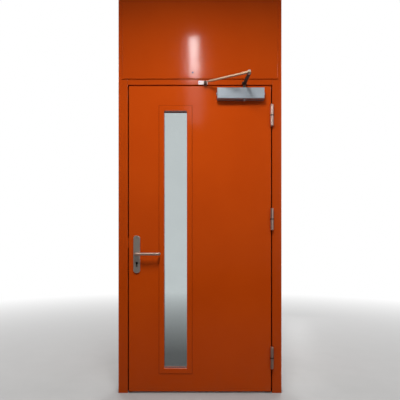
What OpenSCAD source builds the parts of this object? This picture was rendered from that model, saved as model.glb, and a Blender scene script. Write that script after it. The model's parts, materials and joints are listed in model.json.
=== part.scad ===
// Steel fire door in its folded frame: leaf with vision panel, lift-off hinges, lever lock and arm closer.
// X runs across the door, Y away from the opening side, Z up from the floor.

/* [Frame] */
// Width over the two jambs
frame_w = 1116; // [1000:1:1250]
// Height of the frame with its over-panel
frame_h = 2700; // [2600:1:2900]
// Depth of the frame
frame_d = 110; // [100:1:140]
// Sheet of the frame profiles
frame_sheet = 2; // [1.5:0.1:2.5]
// Visible face of each jamb
jamb_face = 64; // [55:1:80]
// Height of the head rail face above the rebate
head_face = 96; // [90:1:120]
// Height of the top rail face
top_face = 60; // [50:1:80]
// Floor to the underside of the head rebate
door_h = 2107; // [2050:1:2130]
// Depth of the rebate that the leaf sits in
rebate_d = 58; // [57.5:0.5:64]
// Step of the door stop behind the leaf
stop_w = 16; // [12:1:20]
// Returns at the wall side of the profiles
return_w = 15; // [10:1:20]
// Outside bend radius of the folded sheets
bend_r = 3; // [2.8:0.1:4]

/* [Over-panel] */
// Lap of the front sheet, in from the frame edge
panel_margin = 27; // [20:1:35]
// Bottom edge of the front sheet above the head rebate
panel_rise = 39; // [37:1:50]
// Top edge of the front sheet below the frame top
panel_drop = 30; // [20:1:40]
// Front sheet in front of the frame face
panel_out = 8; // [6:0.5:12]

/* [Leaf] */
// Thickness of the leaf
leaf_t = 54; // [50:1:56]
// Sheet of the leaf pans
leaf_sheet = 1.5; // [1:0.1:2]
// Gap at the lock side
lock_gap = 7; // [6.5:0.5:9]
// Gap at the hinge side
hinge_gap = 8; // [8:0.5:10]
// Gap under the head
head_gap = 7; // [5:0.5:9]
// Gap over the floor
floor_gap = 10; // [6:1:15]

/* [Vision panel] */
// Middle of the pane, across the door
pane_x = -167; // [-185:1:-150]
// Clear width between the beads
sight_w = 155; // [130:1:180]
// Bottom of the clear sight
sight_bottom = 168; // [150:1:250]
// Leaf top down to the clear sight
sight_drop = 170; // [160:1:300]
// Face width of the beads
bead_face = 35; // [30:1:40]
// Height of the beads over the skin
bead_rise = 4; // [3.5:0.1:6]
// Thickness of the fire glass
glass_t = 10; // [8:1:14]
// Thickness of the glazing tape
tape_t = 3; // [2:0.5:4]

/* [Hinges] */
// Floor to the middle of the bottom hinge
hinge_low = 243; // [200:1:300]
// Floor to the middle of the middle hinge
hinge_mid = 1189; // [900:1:1300]
// Leaf top down to the middle of the top hinge
hinge_drop = 204; // [180:1:260]
// Diameter of the knuckles
knuckle_d = 24; // [22:0.5:26]
// Length of both knuckles together
knuckle_l = 150; // [120:2:180]
// Diameter of the hinge pin
hinge_pin_d = 12; // [10:0.5:14]
// Thickness of the hinge plates
hinge_plate = 3; // [2:0.5:3]
// Reach of the hinge plates into the gap
hinge_reach = 40; // [30:1:48]

/* [Lock and handle] */
// Leaf edge to spindle axis
backset = 55; // [50:1:65]
// Height of the spindle
spindle_z = 952; // [900:1:1050]
// Spindle down to the key hole
key_drop = 72; // [70:1:92]
// Spindle up to the latch
latch_rise = 74; // [70:1:78]
// Side of the square spindle
spindle_side = 9; // [8:0.5:9]
// Length of the handle plates
plate_h = 256; // [240:1:270]
// Width of the handle plates
plate_w = 46; // [42:1:48]
// Thickness of the handle plates
plate_t = 9; // [8:0.5:10]
// Diameter of the lever bar
lever_d = 20; // [18:0.5:22]
// Lever reach from the axis
lever_l = 165; // [140:1:170]
// Lever axis in front of the leaf
lever_out = 52; // [48:1:60]
// Latch out of the forend
latch_out = 12; // [10.5:0.5:13]
// Throw of the dead bolt
bolt_throw = 20; // [18:1:22]

/* [Closer] */
// Left end of the housing
closer_x = 116; // [100:1:130]
// Length of the housing
closer_l = 318; // [300:1:320]
// Height of the housing
closer_h = 76; // [70:1:80]
// Depth of the housing
closer_d = 52; // [48:1:56]
// Top of the housing below the leaf top
closer_drop = 26; // [22:1:35]
// Pinion axis, across the door
pinion_x = 300; // [295:1:305]
// Pinion axis in front of the leaf
pinion_out = 28; // [26:1:30]
// Shoe pivot, across the door
shoe_x = 36; // [32:1:40]
// Shoe pivot in front of the frame
shoe_out = 30; // [28:1:34]
// Elbow, across the door
elbow_x = 312; // [308:1:316]
// Elbow in front of the leaf
elbow_out = 212; // [208:1:218]

/* [Hidden] */
$fn = 48;
bend_steps = 4;
air = 0.3;
run_fit = 0.05;

// frame places
rebate_x = frame_w / 2 - jamb_face;
bend_c = bend_r - frame_sheet / 2;
half_sheet = frame_sheet / 2;
rail_top = door_h + head_face;
top_rebate = frame_h - top_face;
anchor_t = 3;
anchor_x = frame_w / 2 - jamb_face / 2;
anchor_hole = 11;
fixing_hole = 11;
fixing_heights = [300, 1800];
fixing_depth = (rebate_d + frame_d) / 2;
seal_w = 14;
screw_d = 4;
screw_head = 8;
screw_l = 14;
screw_head_t = 2.5;
screw_grip = 6;
head_sunk = 0.5;
panel_screw_x = -50;
panel_screw_z = rail_top - 14;
panel_screw_d = 13;
panel_screw_h = 2;
panel_x = frame_w / 2 - panel_margin;
panel_z = [door_h + panel_rise, frame_h - panel_drop];

// leaf places
leaf_l = -rebate_x + lock_gap;
leaf_r = rebate_x - hinge_gap;
leaf_b = floor_gap;
leaf_top = door_h - head_gap;
skin_r = bend_r;
channel_h = 20;
in_gap = 0.3;
corner_gap = bend_r - frame_sheet + in_gap;
wool_in = bend_r + in_gap;
edge_in = 2 * leaf_sheet + air;
lip_d = 12;
stiffener_t = 4;
stiffener_side = 15;
stiffener_edge = 8;

// vision panel places
bead_sheet = 2;
bead_r = 2.4;
hole_gap = 2;
sight_l = pane_x - sight_w / 2;
sight_top = leaf_top - sight_drop;
sight_r = pane_x + sight_w / 2;
glass_y = (leaf_t - glass_t) / 2;
tape_w = 12;
glass_edge = 14;

// hinge places
hinge_x = rebate_x - hinge_gap / 2;
hinge_y = -knuckle_d / 2 - 0.5;
ring_h = 2;
knuckle_cap = 6;
knuckle_tip = 3;
hinge_heights = [hinge_low, hinge_mid, leaf_top - hinge_drop];

// lock places
spindle_x = leaf_l + backset;
key_z = spindle_z - key_drop;
latch_z = spindle_z + latch_rise;
bolt_z = key_z - 8;
lock_y = leaf_t / 2;
forend_t = 3;
forend_w = 24;
forend_z0 = bolt_z - 45;
forend_z1 = latch_z + 37;
case_t = 16;
case_wall = 1.5;
case_l = backset + 29;
case_z0 = bolt_z - 25;
case_z1 = latch_z + 24;
latch_w = 12;
latch_h = 24;
latch_back = 20;
tail_w = 8;
tail_h = 10;
tail_end = 6;
bolt_w = 10;
bolt_h = 36;
latch_cut = latch_h / 2 + 6;
keep_cut = latch_h / 2 + 4;
bolt_cut = bolt_h / 2 + 3;
bolt_guide = 20;
bolt_l = bolt_throw + bolt_guide;
hub_d = 22;
plate_z = spindle_z - 4;
bolt_d = 5;
bolt_spots = [plate_z + plate_h / 2 - 14, plate_z - plate_h / 2 + 14];
key_d = 17;
key_leg = 10;
key_depth = 33;
strike_t = 4;
strike_z0 = latch_z - 34;
strike_z1 = latch_z + 37;
strike_d = 46;
strike_spots = [strike_z0 + 8, strike_z1 - 8];
strike_screw_y = lock_y;
forend_spots = [forend_z0 + 8, forend_z1 - 8];
bolt_head = 8;
head_t = 3;
plate_r = 20;
plate_bevel = 2;
trunnion_d = 16;
inner_t = case_t - 2 * case_wall;
finger_w = 8;
finger_r = 19;
lever_r = 16;
lever_end = 24;
socket_l = 24;

// closer places
closer_top = leaf_top - closer_drop;
closer_z = closer_top - closer_h / 2;
plug_l = 9;
plug_d = 30;
plug_hex = 20;
plug_out = 5;
pinion_d = 18;
arm_z = leaf_top + 3;
arm_t = 8;
hub_z = arm_z - 2;
hub_h = 14;
arm_w = 22;
fore_z = arm_z + arm_t + air;
fore_t = 9.7;
elbow_d = 8;
fore_l = norm([elbow_x - shoe_x, elbow_out - shoe_out]);
fore_angle = atan2(elbow_out - shoe_out, shoe_x - elbow_x);
arm_l = norm([elbow_x - pinion_x, elbow_out - pinion_out]);
arm_angle = atan2(pinion_out - elbow_out, elbow_x - pinion_x);
bar_l = fore_l * 0.9;
rod_d = 7;
lug_top = fore_z - 2 * air;
lug_t = 8;
closer_r = 6;
valve_d = 8;
valve_out = 1.5;
valve_side = 25;
valve_spots = [closer_z - valve_side, closer_z + valve_side];
cap_d = 21;
cap_tip = 12;
cap_h = 10;
pinion_neck = 14;
pinion_cap = 3;
arm_hub = 34;
arm_eye = 22;
elbow_head = 18;
elbow_cap = 7;
elbow_foot = 2;
pivot_head = 14;
pivot_cap = 4;
fore_w = 14;
rod_in = 40;
nut_d = 13;
nut_t = 6;
shoe_t = 5;
shoe_h = 26;
shoe_left = 48;
shoe_right = 16;
shoe_r = 5;
shoe_spots = [shoe_x - shoe_left + 9, shoe_x + shoe_right - 9];
shoe_z = lug_top - 2 + shoe_h / 2;

// colours
paint = [0.66, 0.22, 0.02];
silver = [0.65, 0.67, 0.69];
steel = [0.6, 0.58, 0.55];
dark = [0.12, 0.12, 0.12];
wool = [0.72, 0.66, 0.45];

// outline helpers
function unit(v) = v / norm(v);
function left_of(v) = [-v[1], v[0]];
function arc(c, r, a0, a1) =
    [for (i = [0:bend_steps]) let (a = a0 + (a1 - a0) * i / bend_steps) c + r * [cos(a), sin(a)]];

// one side of a folded sheet: straight runs of a centre line joined by bends
function bend_points(a, b, c, s) =
    let (d1 = unit(b - a), d2 = unit(c - b), turn = sign(cross(d1, d2)))
    let (mid = b - bend_c * d1 + bend_c * d2, r = bend_c - s * turn * half_sheet)
    [for (i = [0:bend_steps]) mid - r * cos(90 * i / bend_steps) * d2 + r * sin(90 * i / bend_steps) * d1];
function sheet_side(p, s) = [
    p[0] + s * half_sheet * left_of(unit(p[1] - p[0])),
    for (i = [1:len(p) - 2]) each bend_points(p[i - 1], p[i], p[i + 1], s),
    p[len(p) - 1] + s * half_sheet * left_of(unit(p[len(p) - 1] - p[len(p) - 2]))
];
function turned(p) = [for (i = [len(p) - 1:-1:0]) p[i]];
function folded(p) = concat(sheet_side(p, 1), turned(sheet_side(p, -1)));

// centre line of a frame profile: u in from the wall side, v back from the face
function profile_line(face) = let (h = half_sheet) [
    [h, return_w],
    [h, h],
    [face - h, h],
    [face - h, rebate_d + h],
    [face + stop_w - h, rebate_d + h],
    [face + stop_w - h, frame_d - h],
    [h, frame_d - h],
    [h, frame_d - return_w]
];

// space that a jamb takes up, with its return side closed
function jamb_outline() = let (side = sheet_side(profile_line(jamb_face), -1)) side;

// outline with two rounded front corners, a along the face and depth behind it
function bay(a0, a1, depth, r) = concat(
    [[a0, depth]], arc([a0 + r, r], r, 180, 270), arc([a1 - r, r], r, 270, 360), [[a1, depth]]);
function swapped(p) = [for (q = p) [q[1], q[0]]];

module at_face() translate([0, -frame_d / 2, 0]) children();
module slab(x, y, z) translate([x[0], y[0], z[0]]) cube([x[1] - x[0], y[1] - y[0], z[1] - z[0]]);
module along_x(x0, x1) translate([x0, 0, 0]) rotate([90, 0, 90]) linear_extrude(x1 - x0) children();
module along_y(y0, y1) translate([0, y1, 0]) rotate([90, 0, 0]) linear_extrude(y1 - y0) children();
module rod_y(x, z, d, y0, y1) translate([x, y0, z]) rotate([-90, 0, 0]) cylinder(d = d, h = y1 - y0);
module rod_x(y, z, d, x0, x1) translate([x0, y, z]) rotate([0, 90, 0]) cylinder(d = d, h = x1 - x0);
module post(x, y, d, z0, z1) translate([x, y, z0]) cylinder(d = d, h = z1 - z0);

// block with its front edges rounded on all four sides
module soft_block(x, y, z, r) translate([0, y[0], 0]) intersection() {
    translate([0, 0, z[0]]) linear_extrude(z[1] - z[0]) polygon(bay(x[0], x[1], y[1] - y[0], r));
    along_x(x[0], x[1]) polygon(swapped(bay(z[0], z[1], y[1] - y[0], r)));
}

module round_rect(w, h, r) {
    square([w - 2 * r, h], center = true);
    square([w, h - 2 * r], center = true);
    for (sx = [-1, 1], sz = [-1, 1]) translate([sx * (w / 2 - r), sz * (h / 2 - r)]) circle(r);
}

// frame
module jamb_solid() translate([-frame_w / 2, 0, 0]) linear_extrude(frame_h)
    polygon(folded(profile_line(jamb_face)));
module jamb_space() translate([-frame_w / 2, 0, 0]) linear_extrude(frame_h) polygon(jamb_outline());
module fixing_holes() for (z = fixing_heights)
    rod_x(fixing_depth, z, fixing_hole, -rebate_x + stop_w - frame_sheet - 1, -rebate_x + stop_w + 1);

module lock_jamb() color(paint) at_face() difference() {
    jamb_solid();
    fixing_holes();
    slab([-rebate_x - frame_sheet - 1, -rebate_x + 1], [lock_y - latch_w, lock_y + latch_w],
         [latch_z - latch_cut, latch_z + latch_cut]);
    slab([-rebate_x - frame_sheet - 1, -rebate_x + 1], [lock_y - bolt_w, lock_y + bolt_w],
         [bolt_z - bolt_cut, bolt_z + bolt_cut]);
    for (z = strike_spots)
        rod_x(strike_screw_y, z, screw_d + 2 * run_fit, -rebate_x - frame_sheet - 1, -rebate_x + 1);
}

module hinge_jamb() color(paint) at_face() mirror([1, 0, 0]) difference() {
    jamb_solid();
    fixing_holes();
}

// rail between the jambs, its ends cut to their profile
module rail(face, top) difference() {
    along_x(-rebate_x - bend_r, rebate_x + bend_r)
        polygon([for (q = folded(profile_line(face))) [q[1], top - q[0]]]);
    jamb_space();
    mirror([1, 0, 0]) jamb_space();
}

module head_rail() color(paint) at_face() difference() {
    rail(head_face, rail_top);
    for (x = shoe_spots) rod_y(x, shoe_z, screw_d + 2 * run_fit, -1, frame_sheet + 1);
    rod_y(panel_screw_x, panel_screw_z, screw_d + 2 * run_fit, -1, frame_sheet + 1);
}
module top_rail() color(paint) at_face() rail(top_face, frame_h);

// shallow tray, its edges folded back onto the frame face
module tray(inset, back) soft_block([-panel_x + inset, panel_x - inset], [-panel_out + inset, back],
    [panel_z[0] + inset, panel_z[1] - inset], bend_r - inset);
module over_panel_front() color(paint) at_face() difference() {
    tray(0, 0);
    tray(frame_sheet, 1);
    rod_y(panel_screw_x, panel_screw_z, screw_d + 2 * run_fit, -panel_out - 1, 0);
}
module over_panel_screw() color(dark) at_face() {
    rod_y(panel_screw_x, panel_screw_z, panel_screw_d, -panel_out - panel_screw_h, -panel_out);
    rod_y(panel_screw_x, panel_screw_z, screw_d, -panel_out, frame_sheet + screw_grip);
}
// wool that fills the tray and the frame behind it
module over_panel_core() color(wool) at_face() difference() {
    union() {
        slab([-panel_x + wool_in, panel_x - wool_in], [-panel_out + frame_sheet, 0],
             [panel_z[0] + wool_in, panel_z[1] - wool_in]);
        slab([-rebate_x + in_gap, rebate_x - in_gap], [-1, rebate_d - frame_sheet - in_gap],
             [rail_top, top_rebate - in_gap]);
    }
    rod_y(panel_screw_x, panel_screw_z, screw_d + 2 * run_fit, -panel_out, 1);
}
module over_panel_back() color(paint) at_face()
    slab([-rebate_x + corner_gap, rebate_x - corner_gap], [rebate_d - frame_sheet, rebate_d],
         [rail_top, top_rebate - corner_gap]);

// seal strips on the stops, at both sides and at the head
module frame_seal() color(dark) at_face() {
    y = [leaf_t + air, rebate_d];
    for (s = [0, 1]) mirror([s, 0, 0])
        slab([-rebate_x + bend_r, -rebate_x + seal_w], y, [0, door_h - seal_w]);
    slab([-rebate_x + bend_r, rebate_x - bend_r], y, [door_h - seal_w, door_h - bend_r]);
}

module floor_anchors() color(steel) at_face() for (s = [0, 1]) mirror([s, 0, 0]) difference() {
    union() {
        slab([-frame_w / 2 + frame_sheet, -rebate_x - frame_sheet], [bend_r, frame_d - bend_r], [0, anchor_t]);
        slab([-frame_w / 2 + bend_r, -rebate_x - bend_r], [frame_sheet, frame_d - frame_sheet], [0, anchor_t]);
    }
    post(-anchor_x, frame_d / 2, anchor_hole, -1, anchor_t + 1);
}

module strike_plate() color(paint) at_face() difference() {
    slab([-rebate_x, -rebate_x + strike_t], [bend_r, strike_d], [strike_z0, strike_z1]);
    slab([-rebate_x - 1, -rebate_x + strike_t + 1], [lock_y - latch_w, lock_y + latch_w],
         [latch_z - keep_cut, latch_z + keep_cut]);
    for (z = strike_spots) strike_screw(z, run_fit);
}
module strike_screw(z, extra) translate([-rebate_x, strike_screw_y, z]) rotate([0, 90, 0]) {
    translate([0, 0, -screw_l]) cylinder(d = screw_d + 2 * extra, h = screw_l + strike_t);
    translate([0, 0, strike_t - screw_head_t])
        cylinder(d1 = screw_d + 2 * extra, d2 = screw_head + 2 * extra, h = screw_head_t);
}
module strike_screws() color(steel) at_face() for (z = strike_spots) strike_screw(z, 0);

// hinges
// one knuckle above the ring: a barrel with a tapered tip and a blind bore for the pin
module hinge_knuckle(z0, z1) difference() {
    union() {
        post(hinge_x, hinge_y, knuckle_d, z0, z1 - knuckle_tip);
        translate([hinge_x, hinge_y, z1 - knuckle_tip])
            cylinder(d1 = knuckle_d, d2 = knuckle_d - 2 * knuckle_tip, h = knuckle_tip);
    }
    post(hinge_x, hinge_y, hinge_pin_d + 2 * run_fit, z0 - 1, z1 - knuckle_cap);
}
module hinge_plate_at(x0, z0, z1) difference() {
    slab([x0, x0 + hinge_plate], [hinge_y + hinge_pin_d / 2 + 1, hinge_reach], [z0, z1]);
    post(hinge_x, hinge_y, knuckle_d - 2, z0 - 1, z1 + 1);
}
module hinge_half(x0, lift) {
    z0 = ring_h / 2 + lift;
    z1 = knuckle_l / 2;
    hinge_knuckle(z0, z1);
    hinge_plate_at(x0, z0, z1 - knuckle_tip);
}
module hinge_frame(z) color(steel) at_face() translate([0, 0, z]) mirror([0, 0, 1])
    hinge_half(rebate_x - hinge_plate, 0);
module hinge_door(z) color(steel) at_face() translate([0, 0, z]) hinge_half(leaf_r, air);
module hinge_pin(z) color(steel) at_face() {
    pin_l = knuckle_l / 2 - knuckle_cap;
    post(hinge_x, hinge_y, hinge_pin_d, z - pin_l, z + pin_l - air);
}
module hinge_ring(z) color(dark) at_face() difference() {
    post(hinge_x, hinge_y, knuckle_d - 1, z - ring_h / 2, z + ring_h / 2);
    post(hinge_x, hinge_y, hinge_pin_d + 2 * run_fit, z - ring_h, z + ring_h);
}

// leaf
module leaf_block(inset, depth) soft_block([leaf_l + inset, leaf_r - inset], [inset, depth],
    [leaf_b + inset, leaf_top - inset], max(skin_r - inset, 0.5));
module pane_space(grow, y) slab([sight_l - grow, sight_r + grow], y, [sight_bottom - grow, sight_top + grow]);
module key_shape(grow) {
    translate([0, key_d / 2]) circle(d = key_d + 2 * grow);
    translate([-key_leg / 2 - grow, key_d - key_depth - grow])
        square([key_leg + 2 * grow, key_depth - key_d / 2]);
}
module key_way(grow, y) translate([spindle_x, 0, key_z]) along_y(y[0], y[1]) key_shape(grow);
module lock_holes(y) {
    rod_y(spindle_x, spindle_z, lever_d + 4, y[0], y[1]);
    for (z = bolt_spots) rod_y(spindle_x, z, bolt_d + 1, y[0], y[1]);
}
module forend_space() slab([leaf_l - 1, leaf_l + forend_t], [lock_y - forend_w / 2, lock_y + forend_w / 2],
    [forend_z0, forend_z1]);

module leaf_front_skin() color(paint) at_face() difference() {
    leaf_block(0, leaf_t - leaf_sheet);
    leaf_block(leaf_sheet, leaf_t);
    pane_space(glass_edge + hole_gap, [-1, leaf_t]);
    lock_holes([-1, leaf_sheet + 1]);
    key_way(1, [-1, leaf_sheet + 1]);
    forend_space();
}

module leaf_back_skin() color(paint) at_face() {
    lip = [leaf_t - lip_d, leaf_t - leaf_sheet];
    difference() {
        slab([leaf_l, leaf_r], [leaf_t - leaf_sheet, leaf_t], [leaf_b, leaf_top]);
        pane_space(glass_edge + hole_gap, [0, leaf_t + 1]);
        lock_holes([lock_y, leaf_t + 1]);
    }
    difference() {
        slab([leaf_l + leaf_sheet, leaf_r - leaf_sheet], lip, [leaf_b + leaf_sheet, leaf_top - leaf_sheet]);
        slab([leaf_l + 2 * leaf_sheet, leaf_r - 2 * leaf_sheet], [0, leaf_t],
             [leaf_b + 2 * leaf_sheet, leaf_top - 2 * leaf_sheet]);
    }
}

module leaf_core() color(wool) at_face() difference() {
    slab([leaf_l + edge_in, leaf_r - edge_in], [leaf_sheet, leaf_t - leaf_sheet],
         [leaf_b + edge_in + channel_h, leaf_top - edge_in - channel_h]);
    pane_space(glass_edge + hole_gap, [-1, leaf_t + 1]);
    lock_holes([-1, leaf_t + 1]);
    key_way(1, [-1, lock_y]);
    slab([leaf_l, leaf_l + forend_t + case_l + 1], [lock_y - forend_w / 2 - 1, lock_y + forend_w / 2 + 1],
         [forend_z0 - 1, forend_z1 + 1]);
    stiffener();
}

// U channels that close the leaf at its top and bottom
module leaf_channel(z0, z1, web) difference() {
    slab([leaf_l + edge_in, leaf_r - edge_in], [leaf_sheet, leaf_t - leaf_sheet], [z0, z1]);
    slab([leaf_l, leaf_r], [2 * leaf_sheet, leaf_t - 2 * leaf_sheet], [z0 + (web > 0 ? leaf_sheet : -1),
         z1 + (web > 0 ? 1 : -leaf_sheet)]);
}
module leaf_channels() color(steel) at_face() {
    leaf_channel(leaf_top - edge_in - channel_h, leaf_top - edge_in, 1);
    leaf_channel(leaf_b + edge_in, leaf_b + edge_in + channel_h, -1);
}

module stiffener() slab([closer_x - stiffener_side, closer_x + closer_l + stiffener_side],
    [leaf_sheet, leaf_sheet + stiffener_t], [closer_top - closer_h - stiffener_edge,
     min(closer_top + stiffener_edge, leaf_top - edge_in - channel_h)]);
module closer_reinforcement() color(steel) at_face() stiffener();

// vision panel
module glass_pane() color([0.75, 0.8, 0.8, 0.4]) at_face() pane_space(glass_edge, [glass_y, glass_y + glass_t]);
module bead() {
    end = glass_y - tape_t;
    difference() {
        union() {
            difference() {
                soft_block([sight_l - bead_face, sight_r + bead_face], [-bead_rise, 0],
                    [sight_bottom - bead_face, sight_top + bead_face], bead_r);
                pane_space(bead_face - bead_sheet, [-bead_rise + bead_sheet, 1]);
            }
            pane_space(bead_sheet, [-bead_rise + bead_sheet / 2, end]);
        }
        pane_space(0, [-bead_rise - 1, end + 1]);
    }
}
module mirrored_back() translate([0, leaf_t, 0]) mirror([0, 1, 0]) children();
module glazing_bead_front() color(paint) at_face() bead();
module glazing_bead_back() color(paint) at_face() mirrored_back() bead();
module tape() difference() {
    pane_space(tape_w, [glass_y - tape_t, glass_y]);
    pane_space(0, [0, leaf_t]);
}
module glazing_tapes() color(dark) at_face() {
    tape();
    mirrored_back() tape();
}

// lock and handle
module handle_plate() difference() {
    translate([spindle_x, 0, plate_z]) hull() {
        along_y(-plate_t + plate_bevel, 0) round_rect(plate_w, plate_h, plate_r, $fn = 32);
        along_y(-plate_t, 0) round_rect(plate_w - 2 * plate_bevel, plate_h - 2 * plate_bevel,
            plate_r - plate_bevel, $fn = 32);
    }
    rod_y(spindle_x, spindle_z, lever_d + 2 * air, -plate_t - 1, 1);
    for (z = bolt_spots) bolt_hole(z);
}
module bolt_hole(z) {
    rod_y(spindle_x, z, bolt_d + 2 * run_fit, -plate_t - 1, 1);
    rod_y(spindle_x, z, bolt_head + 2 * run_fit, -plate_t - 1, -plate_t + head_t);
}
module handle_plate_front() color(steel) at_face() difference() {
    handle_plate();
    key_way(0, [-plate_t - 1, 1]);
}
// plain plate on the far side, with no key hole
module handle_plate_back() color(steel) at_face() mirrored_back() handle_plate();
module handle_bolts() color(steel) at_face() for (z = bolt_spots) {
    rod_y(spindle_x, z, bolt_d, -plate_t + head_t, leaf_t + plate_t - head_t);
    rod_y(spindle_x, z, bolt_head, -plate_t + head_sunk, -plate_t + head_t);
    rod_y(spindle_x, z, bolt_head, leaf_t + plate_t - head_t, leaf_t + plate_t - head_sunk);
}

module case_box(inset) slab([leaf_l + forend_t + inset, leaf_l + forend_t + case_l - inset],
    [lock_y - case_t / 2 + inset, lock_y + case_t / 2 + (inset > 0 ? 1 : -case_wall)],
    [case_z0 + inset, case_z1 - inset]);
module hub_bore() rod_y(spindle_x, spindle_z, trunnion_d + 2 * run_fit, lock_y - case_t, lock_y + case_t);
module lock_case() color(steel) at_face() difference() {
    case_box(0);
    case_box(case_wall);
    slab([leaf_l, leaf_l + forend_t + case_wall + 1], [lock_y - latch_w / 2 - air, lock_y + latch_w / 2 + air],
         [latch_z - latch_h / 2 - air, latch_z + latch_h / 2 + air]);
    slab([leaf_l, leaf_l + forend_t + case_wall + 1], [lock_y - bolt_w / 2 - air, lock_y + bolt_w / 2 + air],
         [bolt_z - bolt_h / 2 - air, bolt_z + bolt_h / 2 + air]);
    hub_bore();
    key_way(1, [lock_y - case_t, lock_y]);
}
module lock_cover() color(steel) at_face() difference() {
    slab([leaf_l + forend_t, leaf_l + forend_t + case_l],
         [lock_y + case_t / 2 - case_wall, lock_y + case_t / 2], [case_z0, case_z1]);
    hub_bore();
}
module lock_forend() color(steel) at_face() difference() {
    slab([leaf_l, leaf_l + forend_t], [lock_y - forend_w / 2, lock_y + forend_w / 2], [forend_z0, forend_z1]);
    slab([leaf_l - 1, leaf_l + forend_t + 1], [lock_y - latch_w / 2 - air, lock_y + latch_w / 2 + air],
         [latch_z - latch_h / 2 - air, latch_z + latch_h / 2 + air]);
    slab([leaf_l - 1, leaf_l + forend_t + 1], [lock_y - bolt_w / 2 - air, lock_y + bolt_w / 2 + air],
         [bolt_z - bolt_h / 2 - air, bolt_z + bolt_h / 2 + air]);
    for (z = forend_spots) rod_x(lock_y, z, screw_d + 2 * run_fit, leaf_l - 1, leaf_l + forend_t + 1);
}
module forend_screws() color(steel) at_face() for (z = forend_spots)
    rod_x(lock_y, z, screw_d, leaf_l + head_sunk, leaf_l + screw_l);

module bar_bend(x, y, from) translate([x, y, spindle_z]) rotate([0, 0, from]) rotate_extrude(angle = 90)
    translate([lever_r, 0]) circle(d = lever_d);
module lever() {
    tip = spindle_x + lever_l - lever_d / 2;
    difference() {
        rod_y(spindle_x, spindle_z, lever_d, -lever_out + lever_r, -1);
        slab([spindle_x - spindle_side / 2 - run_fit, spindle_x + spindle_side / 2 + run_fit], [-socket_l, 0],
             [spindle_z - spindle_side / 2 - run_fit, spindle_z + spindle_side / 2 + run_fit]);
    }
    bar_bend(spindle_x + lever_r, -lever_out + lever_r, 180);
    rod_x(-lever_out, spindle_z, lever_d, spindle_x + lever_r, tip - lever_r);
    bar_bend(tip - lever_r, -lever_out + lever_r, 270);
    rod_y(tip, spindle_z, lever_d, -lever_out + lever_r, -lever_end);
}
module lever_front() color(steel) at_face() lever();
module lever_back() color(steel) at_face() mirrored_back() lever();
module spindle() color(steel) at_face() slab([spindle_x - spindle_side / 2, spindle_x + spindle_side / 2],
    [-socket_l + 1, leaf_t + socket_l - 1], [spindle_z - spindle_side / 2, spindle_z + spindle_side / 2]);

// follower turns in the case and its finger drives the latch tail
module follower() color(steel) at_face() difference() {
    union() {
        rod_y(spindle_x, spindle_z, hub_d, lock_y - inner_t / 2 + air, lock_y + inner_t / 2 - air);
        rod_y(spindle_x, spindle_z, trunnion_d, lock_y - case_t / 2, lock_y + case_t / 2);
        slab([spindle_x - finger_w / 2, spindle_x + finger_w / 2],
             [lock_y - finger_w / 2, lock_y + finger_w / 2], [spindle_z, spindle_z + finger_r]);
    }
    slab([spindle_x - spindle_side / 2 - run_fit, spindle_x + spindle_side / 2 + run_fit], [0, leaf_t],
         [spindle_z - spindle_side / 2 - run_fit, spindle_z + spindle_side / 2 + run_fit]);
}
module latch_bolt() color(silver) at_face() {
    tail_x = spindle_x + finger_w / 2 + 1;
    difference() {
        slab([leaf_l - latch_out, leaf_l + latch_back], [lock_y - latch_w / 2, lock_y + latch_w / 2],
             [latch_z - latch_h / 2, latch_z + latch_h / 2]);
        translate([leaf_l - latch_out, lock_y + latch_w / 2, latch_z - latch_h]) linear_extrude(2 * latch_h)
            polygon([[-1, -latch_w + 2], [0, -latch_w + 2], [latch_out - 1, 0], [latch_out - 1, 1], [-1, 1]]);
    }
    slab([leaf_l + latch_back - 1, tail_x + tail_end], [lock_y - tail_w / 2, lock_y + tail_w / 2],
         [latch_z - tail_h / 2, latch_z + tail_h / 2]);
    slab([tail_x, tail_x + tail_end], [lock_y - tail_w / 2, lock_y + tail_w / 2],
         [spindle_z + hub_d / 2 + hole_gap, latch_z]);
}
module dead_bolt() color(silver) at_face() slab([leaf_l, leaf_l + bolt_l],
    [lock_y - bolt_w / 2, lock_y + bolt_w / 2], [bolt_z - bolt_h / 2, bolt_z + bolt_h / 2]);

// closer
module closer_block() soft_block([closer_x, closer_x + closer_l], [-closer_d, 0],
    [closer_top - closer_h, closer_top], closer_r);
// the two ends of the housing, each with its inside towards local +X
module at_closer_ends() {
    translate([closer_x, -closer_d / 2, closer_z]) children();
    translate([closer_x + closer_l, -closer_d / 2, closer_z]) mirror([1, 0, 0]) children();
}
module closer_housing() color(silver) at_face() difference() {
    closer_block();
    post(pinion_x, -pinion_out, pinion_d + 2 * run_fit, closer_top - closer_h - 1, closer_top + 1);
    at_closer_ends() rod_x(0, 0, plug_d + 2 * run_fit, -1, plug_l);
    for (z = valve_spots) rod_x(-closer_d / 2, z, valve_d + 2 * run_fit, closer_x - 1, closer_x + plug_l);
}
// threaded plugs with a hexagon head
module closer_end_plugs() color(silver) at_face() at_closer_ends() {
    rod_x(0, 0, plug_d, 0, plug_l);
    translate([-plug_out, 0, 0]) rotate([0, 90, 0]) cylinder(d = plug_hex, h = plug_out, $fn = 6);
}
module closer_valves() color(silver) at_face()
    for (z = valve_spots) rod_x(-closer_d / 2, z, valve_d, closer_x - valve_out, closer_x + plug_l);
// cap under the lower end of the pinion
module closer_cap() color(silver) at_face() translate([pinion_x, -pinion_out, closer_top - closer_h - cap_h])
    cylinder(d1 = cap_tip, d2 = cap_d, h = cap_h);

module closer_pinion() color(dark) at_face() {
    post(pinion_x, -pinion_out, pinion_d, closer_top - closer_h + air, hub_z);
    post(pinion_x, -pinion_out, pinion_neck, hub_z, hub_z + hub_h);
    post(pinion_x, -pinion_out, pinion_d - 2, hub_z + hub_h, hub_z + hub_h + pinion_cap);
}
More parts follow.
